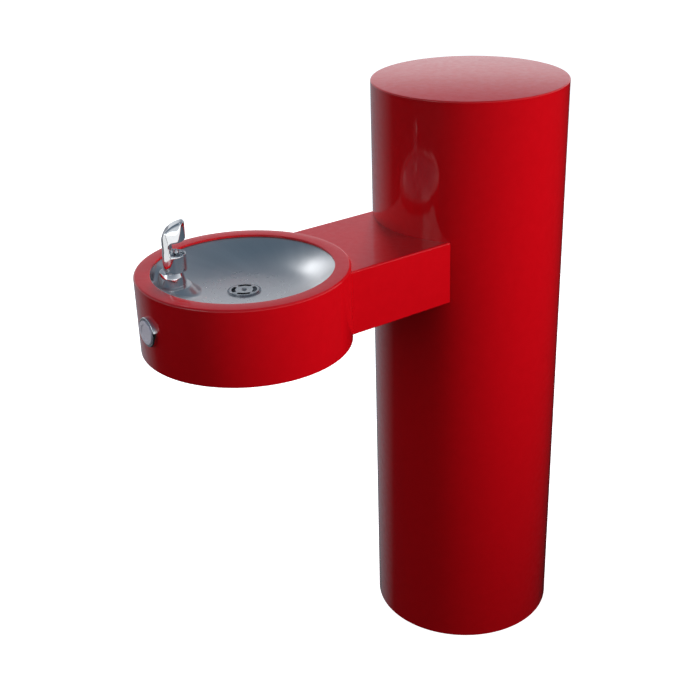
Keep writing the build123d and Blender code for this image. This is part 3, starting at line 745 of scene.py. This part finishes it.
def security_screw(name, head_r, head_h, shank_r, length):
    """A screw standing along Z, with the foot of its head at zero."""
    angles = [math.radians(a) for a in range(10, 90, 10)]
    dome = [(0, head_h)] + [(head_r * math.sin(a), head_h * math.cos(a) ** 0.8) for a in angles]
    dome += [(head_r, 0), (shank_r, 0), (shank_r, -length), (0, -length)]
    screw = turned(name, dome, FASTENER, steps=48, closed=False)
    cut(screw, cylinder("socket", head_r * 0.45, head_h * 0.3, head_h * 2, steps=SOCKET_SIDES))
    pin_r, pin_top, pin_foot = head_r * 0.15, head_h * 0.85, head_h * 0.2
    pin = turned("pin", rounded_outline(
        [(0, pin_top), (pin_r, pin_top), (pin_r, pin_foot), (0, pin_foot)],
        [0, head_r * 0.05, 0, 0], 3, closed=False), FASTENER, steps=16, closed=False)
    return cut(screw, pin, operation="UNION")


# %% Set the copies down
def loose_boxes(node):
    """The low and high corner of each loose piece of a CAD node, in a settled order."""
    work = bmesh.new()
    work.from_mesh(frame["nodes"][node].data)
    bmesh.ops.remove_doubles(work, verts=work.verts, dist=WELD)
    left = set(work.verts)
    boxes = []
    while left:
        island, queue = set(), [left.pop()]
        while queue:
            vert = queue.pop()
            island.add(vert)
            for edge in vert.link_edges:
                other = edge.other_vert(vert)
                if other in left:
                    left.discard(other)
                    queue.append(other)
        low = Vector([min(v.co[i] for v in island) for i in range(3)])
        high = Vector([max(v.co[i] for v in island) for i in range(3)])
        boxes.append((low, high))
    work.free()
    return sorted(boxes, key=lambda box: tuple(box[0]))


SCREW_HEAD_R = 4.6 * MM
SCREW_SHANK_R = 2.45 * MM
UP, DOWN = Vector((0, 0, 1)), Vector((0, 0, -1))
door_places = []
for low, high in loose_boxes("door_screws"):
    middle = (low + high) / 2
    out = Vector((middle.x, middle.y, 0)).normalized()
    door_places.append((out * POST_R + Vector((0, 0, middle.z)), out, UP))
door_screw = security_screw("screw", SCREW_HEAD_R, 2.6 * MM, SCREW_SHANK_R, 10 * MM)
screws = set_down("door_screws_made", door_screw, door_places, FASTENER)
settle(screws, "stand", "fastener_steel", "door_screws")

cover_low, cover_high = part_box("bowl_bottom_cover")
cover_places = []
for low, high in loose_boxes("cover_screws"):
    middle = (low + high) / 2
    cover_places.append((Vector((middle.x, middle.y, cover_low.z)), DOWN, Vector((1, 0, 0))))
cover_screw = security_screw("screw", SCREW_HEAD_R, 1.9 * MM, SCREW_SHANK_R, 9 * MM)
screws = set_down("cover_screws_made", cover_screw, cover_places, FASTENER)
settle(screws, "stand", "fastener_steel", "cover_screws")

# %% [markdown]
# ## The cover under the drum
# A flat round plate closes the drum from below. Its edge is rounded by deburring.

# %% Make the bottom cover
cover_r = (cover_high.x - cover_low.x) / 2
cover = turned("bottom_cover", rounded_outline(
    [(0, cover_high.z), (cover_r, cover_high.z), (cover_r, cover_low.z), (0, cover_low.z)],
    [0, 0.4 * MM, 1.0 * MM, 0], 5, closed=False), RED, at=BOWL_AT, closed=False)
SCREW_HOLE_R = 2.7 * MM
holes = []
for place in cover_places:
    holes.append(cylinder("hole", SCREW_HOLE_R, cover_low.z - 0.01, cover_high.z + 0.01,
                          at=(place[0].x, place[0].y, 0), steps=32))
cut(cover, *holes)
settle(dress(cover, RED), "stand", "red_paint", "bowl_bottom_cover")

# %% [markdown]
# ## The drain
# A flanged cup holds a round strainer plate with one screw in its middle. Curved slots near
# the edge let the water through. Each slot is the same cutter, a bar bent to an arc, and the
# placing tree sets the copies down in a ring.

# %% Make the strainer
plate_low, plate_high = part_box("drain_strainer")
PLATE_R = (plate_high.x - plate_low.x) / 2
SLOT_IN_R = 15.0 * MM
SLOT_OUT_R = 21.6 * MM
SLOT_HALF_ANGLE = math.radians(26.8)
SLOT_START = math.radians(55)
SLOT_COUNT = 4
CUTTER_HEIGHT = 8 * MM
ARC_STEPS = 16
END_STEPS = 8


def arc(centre, radius, start, end, steps):
    """Points along an arc, with both its ends."""
    angles = [start + (end - start) * i / steps for i in range(steps + 1)]
    return [(centre[0] + radius * math.cos(a), centre[1] + radius * math.sin(a)) for a in angles]


def drawn_out(name, outline, way):
    """A flat outline of points, drawn out along a straight way into a solid."""
    work = bmesh.new()
    face = work.faces.new([work.verts.new(point) for point in outline])
    grown = bmesh.ops.extrude_face_region(work, geom=[face])["geom"]
    moved = [item for item in grown if isinstance(item, bmesh.types.BMVert)]
    bmesh.ops.translate(work, verts=moved, vec=way)
    bmesh.ops.recalc_face_normals(work, faces=work.faces)
    return made_object(name, work)


def slot_cutter(name):
    """An arc-shaped bar centred on the X axis, as wide as a slot, with rounded ends."""
    middle, half = (SLOT_IN_R + SLOT_OUT_R) / 2, (SLOT_OUT_R - SLOT_IN_R) / 2
    across = middle * math.cos(SLOT_HALF_ANGLE), middle * math.sin(SLOT_HALF_ANGLE)
    outline = arc((0, 0), SLOT_OUT_R, -SLOT_HALF_ANGLE, SLOT_HALF_ANGLE, ARC_STEPS)
    outline += arc(across, half, SLOT_HALF_ANGLE, SLOT_HALF_ANGLE + math.pi, END_STEPS)[1:-1]
    outline += arc((0, 0), SLOT_IN_R, SLOT_HALF_ANGLE, -SLOT_HALF_ANGLE, ARC_STEPS)
    last_turn = math.pi - SLOT_HALF_ANGLE
    outline += arc((across[0], -across[1]), half, last_turn, last_turn + math.pi, END_STEPS)[1:-1]
    return drawn_out(name, [Vector((x, y, -CUTTER_HEIGHT / 2)) for x, y in outline],
                     (0, 0, CUTTER_HEIGHT))


strainer = turned("strainer", rounded_outline(
    [(2.2 * MM, plate_high.z), (PLATE_R, plate_high.z),
     (PLATE_R, plate_low.z), (2.2 * MM, plate_low.z)],
    [0.3 * MM, 1.0 * MM, 0, 0], 6), STAINLESS, at=BOWL_AT, steps=180)
slot_angles = [SLOT_START + math.tau * i / SLOT_COUNT for i in range(SLOT_COUNT)]
slot_places = [(BOWL_AT + UP * plate_low.z, UP, Vector((math.cos(a), math.sin(a), 0)))
               for a in slot_angles]
cut(strainer, set_down("slots", slot_cutter("slot"), slot_places, STAINLESS))
settle(dress(strainer, STAINLESS), "stand", "satin_stainless", "drain_strainer")
screw = security_screw("strainer_screw", 4.4 * MM, 2.0 * MM, 1.85 * MM, 12 * MM)
screw.data.transform(Matrix.Translation(BOWL_AT + UP * plate_high.z))
settle(screw, "stand", "fastener_steel", "drain_screw")

# %% [markdown]
# ## The push button
# A chromed collar stands on the drum's side and the round button sits in it. The button's
# face has a raised polished rim and a shallow dished middle. Both are turned upright and then
# laid down along the button's axis.

# %% Make the collar and the button
collar_low, collar_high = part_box("button_bezel")
head_low, head_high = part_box("push_button")
COLLAR_R = (collar_high.x - collar_low.x) / 2
HEAD_R = (head_high.x - head_low.x) / 2
FACE_Y = head_low.y
COLLAR_Y = collar_low.y
POCKET_Y = COLLAR_Y + 4.8 * MM
STEM_R = 11.95 * MM
NECK_R = 16.5 * MM
COLLAR_BACK_Y = -0.665
COLLAR_BORE_R = HEAD_R + 0.3 * MM
NECK_BORE_R = STEM_R + 0.05 * MM


def lay_down(obj):
    """Turn a piece made about Z so that +Z becomes +Y, at the button's height."""
    obj.data.transform(Matrix.Translation((0, 0, BUTTON_Z)) @ TURNS["Y"])
    tidy_mesh(obj.data)
    return obj


collar = turned("button_collar", rounded_outline(
    [(COLLAR_BORE_R, COLLAR_Y), (COLLAR_R, COLLAR_Y), (COLLAR_R, COLLAR_BACK_Y),
     (NECK_R, COLLAR_BACK_Y), (NECK_R, collar_high.y), (NECK_BORE_R, collar_high.y),
     (NECK_BORE_R, POCKET_Y), (COLLAR_BORE_R, POCKET_Y)],
    [0.7 * MM, 1.8 * MM, 0, 0, 0.3 * MM, 0.3 * MM, 0.2 * MM, 0], 6), CHROME, steps=144)
lay_down(collar)
drum_core = cylinder("drum_core", DRUM_R, COPE_LOW, COPE_HIGH, at=BOWL_AT)
neck_keep = cylinder("neck_keep", NECK_R, -0.676, collar_high.y + 0.01, "Y", (0, 0, BUTTON_Z), 144)
cut(drum_core, neck_keep)
cut(collar, drum_core)
settle(dress(collar, CHROME), "stand", "chrome", "button_bezel")

DISH_Y = FACE_Y + 0.8 * MM
HEAD_BACK_Y = FACE_Y + 2.6 * MM
GROOVE_R = 10.75 * MM
GROOVE_FRONT, GROOVE_BACK = -0.6497, -0.6485
button = turned("button", rounded_outline(
    [(0, DISH_Y), (12.5 * MM, DISH_Y), (13.6 * MM, FACE_Y), (HEAD_R, FACE_Y),
     (HEAD_R, HEAD_BACK_Y), (STEM_R, HEAD_BACK_Y), (STEM_R, GROOVE_FRONT), (GROOVE_R, GROOVE_FRONT),
     (GROOVE_R, GROOVE_BACK), (STEM_R, GROOVE_BACK), (STEM_R, head_high.y), (0, head_high.y)],
    [0, 0.5 * MM, 0.5 * MM, 1.0 * MM, 0.3 * MM, 0.3 * MM, 0, 0, 0, 0, 0.5 * MM, 0], 6, closed=False),
    BUTTON, steps=144, closed=False)
lay_down(button)
settle(dress(button, BUTTON), "button", "button_metal", "push_button")

# %% [markdown]
# ## The bubbler
# The bubbler is a chromed casting: a dome on the basin, a round barrel, and a hood that leans
# over the outlet to keep mouths off it. A casting has no sharp edges. The hood is cut from
# simple shapes, remeshed into an even skin and relaxed, which rounds every edge alike.

# %% Turn the dome
BUBBLER_TURN = math.atan2(DRUM_Y - bubbler_at.y, -bubbler_at.x)
BUBBLER_SEAT = Matrix.Translation((bubbler_at.x, bubbler_at.y, SEAT_Z))
BUBBLER_PLACE = BUBBLER_SEAT @ Matrix.Rotation(BUBBLER_TURN, 4, "Z")
DOME_R = (dome_high.x - dome_low.x) / 2
DOME_H = dome_high.z - SEAT_Z
BORE_R, SHANK_R, SHANK_FOOT = 4.76 * MM, 10 * MM, -15 * MM
dome_made = turned("bubbler_dome", rounded_outline(
    [(BORE_R, DOME_H), (18.6 * MM, DOME_H), (21.5 * MM, 17 * MM), (DOME_R, 4 * MM), (DOME_R, 0),
     (SHANK_R, 0), (SHANK_R, SHANK_FOOT), (BORE_R, SHANK_FOOT)],
    [0.3 * MM, 1.6 * MM, 14 * MM, 5 * MM, 0.4 * MM, 0, 0.5 * MM, 0], 8), CHROME, steps=144)
dome_made.data.transform(BUBBLER_PLACE)
tidy_mesh(dome_made.data)
settle(dress(dome_made, CHROME), "stand", "chrome", "bubbler_base")

# %% Cast the barrel and the hood
BARREL_X = 8 * MM
BARREL_R = 20 * MM
LIP_Z = 56 * MM
MOUTH_X = 11 * MM
MOUTH_R = 13.6 * MM
THROAT_R = 5 * MM
CHEEK_END = 4 * MM
CHEEK_TOP = 86 * MM
HOOD_TOP = 125 * MM
SHOULDER_Z = 50
SET_SCREW_Z = 34 * MM
CAST_STEP = 0.55 * MM
hood_line = [
    (-11.5, 48), (-11.9, 62), (-11.8, 74), (-10.8, 82), (-8.2, 89), (-4, 95.2), (2, 100.6), (9, 105.4),
    (16.5, 109), (23, 111), (28, 110.6), (30.2, 108), (30.6, 102), (30.6, 90), (30, 83), (28, 79.5),
    (23, 78.2), (14, 77.4), (6, 76), (2.5, 73), (1.5, 67), (1.5, 48)]


def slab(name, outline, half):
    """An outline in X and Z, in millimetres, drawn out to both sides along Y."""
    return drawn_out(name, [Vector((x * MM, -half, z * MM)) for x, z in outline], (0, 2 * half, 0))


def crown(name):
    """Narrows the hood towards its top, with full sides low down and round shoulders."""
    heights = [44 + 4 * i for i in range(19)]
    right = [(19.9 * math.sqrt(1 - (max(0, z - SHOULDER_Z) / 76) ** 2), z) for z in heights]
    shape = slab(name, right + [(-x, z) for x, z in reversed(right)], 0.05)
    shape.data.transform(Matrix.Rotation(math.pi / 2, 4, "Z"))
    return shape


def barrel_round(name, low_r, high_r, low, high, forward=BARREL_X):
    return tapered(name, low_r, high_r, low, high, (forward, 0, 0))


def cast_bubbler():
    hood = slab("hood", hood_line, 0.03)
    hood_round = barrel_round("hood_round", BARREL_R - 0.2 * MM, BARREL_R + 0.4 * MM,
                              LIP_Z - 8 * MM, HOOD_TOP, BARREL_X + 0.8 * MM)
    cut(hood, hood_round, crown("crown"), operation="INTERSECT")
    cheeks = barrel_round("cheeks", BARREL_R - 0.1 * MM, BARREL_R - 2.6 * MM,
                          LIP_Z - 6 * MM, CHEEK_TOP)
    cheek_bore_r = MOUTH_R + 2 * MM
    cut(cheeks, block("cheek_front", (CHEEK_END, -0.03, 0.04), (0.04, 0.03, 0.1)),
        barrel_round("cheek_bore", cheek_bore_r, cheek_bore_r, LIP_Z - 10 * MM, CHEEK_TOP + 1 * MM))
    body = barrel_round("bubbler_body_made", BARREL_R, BARREL_R, DOME_H, LIP_Z)
    cut(body, hood, cheeks, operation="UNION")
    cut(body, barrel_round("mouth", MOUTH_R, MOUTH_R + 1.5 * MM, LIP_Z - 8 * MM, 77 * MM, MOUTH_X),
        barrel_round("throat", THROAT_R, THROAT_R, DOME_H - 1 * MM, LIP_Z - 5 * MM, MOUTH_X),
        cylinder("set_hole", SCREW_HOLE_R, -20 * MM, -6 * MM, "X", (0, 0, SET_SCREW_Z), 32))
    skin = body.modifiers.new("Skin", "REMESH")
    skin.mode = "VOXEL"
    skin.voxel_size = CAST_STEP
    relax = body.modifiers.new("Relax", "SMOOTH")
    relax.factor = 0.6
    relax.iterations = 100
    apply_modifiers(body)
    for vert in body.data.vertices:
        vert.co.z = max(vert.co.z, DOME_H)
    return body


cast = cast_bubbler()
cast.data.transform(BUBBLER_PLACE)
tidy_mesh(cast.data, 180)
print("bubbler body:", len(cast.data.polygons), "faces")
settle(dress(cast, CHROME), "stand", "chrome", "bubbler_body")

# %% Turn the outlet and the set screw
JET_R = 1.4 * MM
OUTLET_R = THROAT_R - 0.1 * MM
OUTLET_TOP, OUTLET_FOOT = LIP_Z + 6 * MM, LIP_Z - 15 * MM
outlet = turned("outlet", rounded_outline(
    [(JET_R, OUTLET_TOP), (3.2 * MM, OUTLET_TOP), (OUTLET_R, LIP_Z + 1 * MM), (OUTLET_R, OUTLET_FOOT),
     (JET_R, OUTLET_FOOT)],
    [0.4 * MM, 0.8 * MM, 0.6 * MM, 0, 0], 5), CHROME, at=(MOUTH_X, 0, 0), steps=64)
outlet.data.transform(BUBBLER_PLACE)
settle(dress(outlet, CHROME), "stand", "chrome", "bubbler_nozzle")

SET_SCREW_R, SET_SCREW_LENGTH = 2.35 * MM, 7 * MM
set_screw = turned("set_screw", rounded_outline(
    [(0, 0), (SET_SCREW_R, 0), (SET_SCREW_R, -SET_SCREW_LENGTH), (0, -SET_SCREW_LENGTH)],
    [0, 0.4 * MM, 0.4 * MM, 0], 3, closed=False), FASTENER, steps=32, closed=False)
cut(set_screw, cylinder("socket", 1.3 * MM, -3 * MM, 2 * MM, steps=SOCKET_SIDES))
screw_place = Matrix.Translation((BARREL_X - BARREL_R + 1 * MM, 0, SET_SCREW_Z))
set_screw.data.transform(BUBBLER_PLACE @ screw_place @ Matrix.Rotation(-math.pi / 2, 4, "Y"))
settle(dress(set_screw, FASTENER), "stand", "fastener_steel", "bubbler_set_screw")

# %% [markdown]
# ## The studio
# A pale floor, a bright band of sky low down and a dimmer sky overhead. What lies below the
# horizon is dark except behind the object, so that the gloss paint keeps deep sides and gets
# a pale band only where it curves away.

# %% Lay the floor
floor_mesh = bpy.data.meshes.new("floor")
floor_mesh.from_pydata([(-30, -30, 0), (30, -30, 0), (30, 30, 0), (-30, 30, 0)], [], [(0, 1, 2, 3)])
floor = plain_object("floor", floor_mesh)
paper, paper_tree, paper_shader = new_finish("studio_paper", (0.9, 0.9, 0.9), roughness=0.9,
                                             Emission_Color=(1, 1, 1, 1), Emission_Strength=0.95)
paper_shade = ramp(paper_tree, object_noise(paper_tree, 40, 4),
                   [(0.3, (0.88,) * 3), (0.7, (0.92,) * 3)])
paper_tree.links.new(paper_shade, paper_shader.inputs["Base Color"])
floor_mesh.materials.append(paper)
floor.visible_glossy = False
floor.visible_diffuse = False

# %% Colour the sky
scene = bpy.context.scene
scene.view_settings.view_transform = "Standard"
world = bpy.data.worlds.new("studio")
scene.world = world
world.use_nodes = True
sky = world.node_tree
back = sky.nodes["Background"]
ray = add_node(sky, "ShaderNodeTexCoord")
height = add_node(sky, "ShaderNodeSeparateXYZ")
sky.links.new(ray.outputs["Generated"], height.inputs[0])
above = ramp(sky, height.outputs["Z"], [
    (0.0, (0.80, 0.82, 0.85)), (0.20, (0.70, 0.73, 0.77)), (0.34, (0.30, 0.33, 0.38)),
    (0.70, (0.13, 0.17, 0.22)), (1.0, (0.09, 0.14, 0.19))])
facing = add_node(sky, "ShaderNodeVectorMath", operation="DOT_PRODUCT")
facing.inputs[1].default_value = (-0.98, 0.19, 0)
sky.links.new(ray.outputs["Generated"], facing.inputs[0])
below = ramp(sky, facing.outputs["Value"], [(0.62, (0.008, 0.008, 0.009)), (0.9, (0.28, 0.29, 0.32))])
is_above = maths(sky, "GREATER_THAN", height.outputs["Z"], 0.0)


def pick_color(tree, share, first, second):
    """The first colour where share is 0, the second where it is 1."""
    node = add_node(tree, "ShaderNodeMix", data_type="RGBA")
    tree.links.new(share, node.inputs["Factor"])
    for label, color in (("A", first), ("B", second)):
        socket = [item for item in node.inputs if item.name == label and item.type == "RGBA"][0]
        if isinstance(color, tuple):
            socket.default_value = color
        else:
            tree.links.new(color, socket)
    return [item for item in node.outputs if item.type == "RGBA"][0]


seen = add_node(sky, "ShaderNodeLightPath")
around = pick_color(sky, is_above, below, above)
sky.links.new(pick_color(sky, seen.outputs["Is Camera Ray"], around, (1, 1, 1, 1)),
              back.inputs["Color"])
back.inputs["Strength"].default_value = 1.0

# %% [markdown]
# ### Soft boxes and cards
# A narrow key from the right gives the paint its colour, a box high behind lights the tops,
# and a weak one in front fills. Polished steel shows only what it mirrors, so pale cards
# stand round it. A card lights only the pieces that it is linked to, and the paint is left
# alone.

# %% Hang the lights
def soft_box(name, at, aim, size, power):
    data = bpy.data.lights.new(name, "AREA")
    data.shape = "RECTANGLE"
    data.size, data.size_y = size
    data.energy = power
    lamp = bpy.data.objects.new(name, data)
    scene.collection.objects.link(lamp)
    lamp.location = at
    lamp.rotation_euler = (Vector(aim) - Vector(at)).to_track_quat("-Z", "Y").to_euler()
    return lamp


key = soft_box("key", (3.0, 1.5, 1.15), (0, -0.5, 1.0), (1.0, 0.9), 8.2)
key.data.spread = math.radians(50)
key.visible_glossy = False
high_back = soft_box("high_back", (-1.75, 1.0, 2.75), (0, -0.3, 0.9), (0.8, 0.8), 62)
high_back.visible_glossy = False
soft_box("fill", (0.4, -3.2, 1.6), (0, -0.3, 0.8), (1.2, 1.2), 5)


def card(name, at, aim, size, power, *pieces):
    """A soft box that lights only the pieces given."""
    lamp = soft_box(name, at, aim, size, power)
    group = bpy.data.collections.new(name + "_for")
    for piece in pieces:
        group.objects.link(piece)
    lamp.light_linking.receiver_collection = group


bowl, spout = (0, -0.45, 0.85), (0, -0.6, 0.95)
bubbler = (cast, dome_made, outlet)
card("bowl_card", (-2.6, -0.2, 2.4), bowl, (0.7, 0.6), 3.8, basin, strainer)
card("bowl_wash", (-2.55, 0.7, 1.8), bowl, (2.2, 1.0), 2.4, basin, strainer)
card("front_card", (1.5, -0.95, 0.62), spout, (3.0, 0.95), 10, *bubbler)
card("rear_card", (-0.35, -2.1, 0.6), spout, (2.4, 0.95), 7, *bubbler)
card("top_card", (0.5, -0.9, 2.5), spout, (0.9, 0.9), 3, *bubbler)
card("button_card", (-1.3, -1.6, 0.1), (0, -0.68, 0.8), (1.2, 0.8), 1.2, button)

# %% [markdown]
# ## The camera
# A slightly long lens at standing eye height, turned and tipped towards the fountain.

# %% Place the camera
lens = bpy.data.cameras.new("camera")
lens.lens = 62.26
lens.sensor_width = 36
camera = bpy.data.objects.new("camera", lens)
scene.collection.objects.link(camera)
turn = Matrix.Rotation(math.radians(54.34), 4, "Z")
down = Matrix.Rotation(math.radians(90 - 25.66), 4, "X")
roll = Matrix.Rotation(math.radians(-1.67), 4, "Z")
camera.matrix_world = Matrix.Translation((1.619, -1.442, 1.606)) @ turn @ down @ roll
scene.camera = camera
